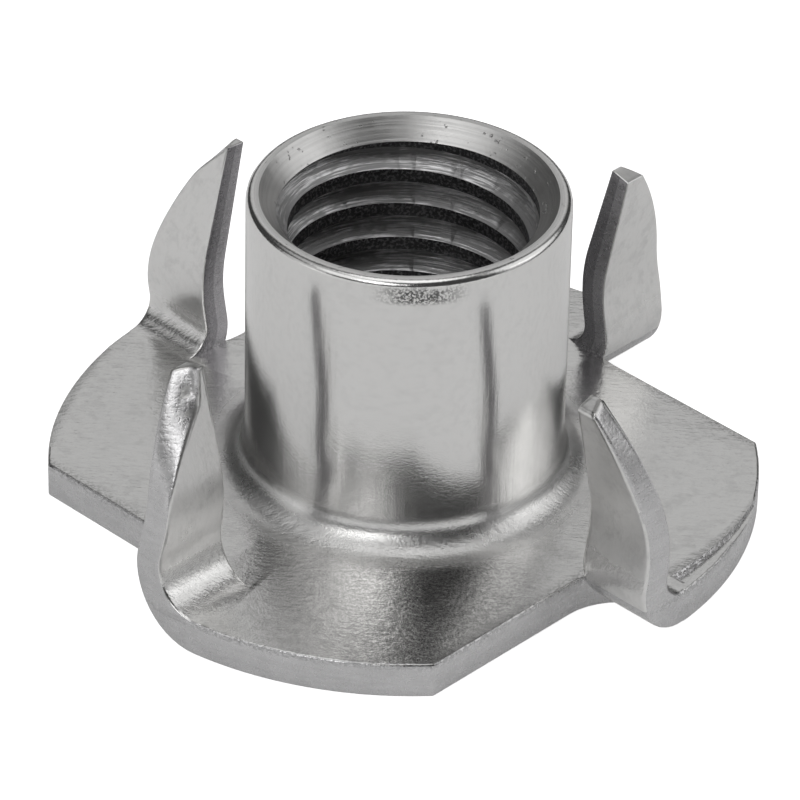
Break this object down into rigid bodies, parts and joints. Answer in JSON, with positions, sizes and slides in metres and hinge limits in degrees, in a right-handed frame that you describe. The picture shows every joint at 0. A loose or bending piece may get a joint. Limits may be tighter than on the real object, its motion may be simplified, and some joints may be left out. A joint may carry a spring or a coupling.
{
  "type": "tee nut",
  "caption": "Flanged tee nut: an internally threaded barrel on a round sheared flange, with prongs folded up from its edge to bite into wood.",
  "frame": {"origin": "centre of the threaded bore, in the plane of the flange's underside", "axes": "+Z along the bore, out of the barrel's rim, the way the bolt comes in and the prongs point; the prongs stand 45 degrees off X and Y"},
  "size_m": [0.0222, 0.0222, 0.0108],
  "materials": {
    "plated_steel": "bright plated steel with fine drawing and turning marks"
  },
  "bodies": {
    "root": {"tee_nut": "plated_steel"}
  },
  "joints": []
}
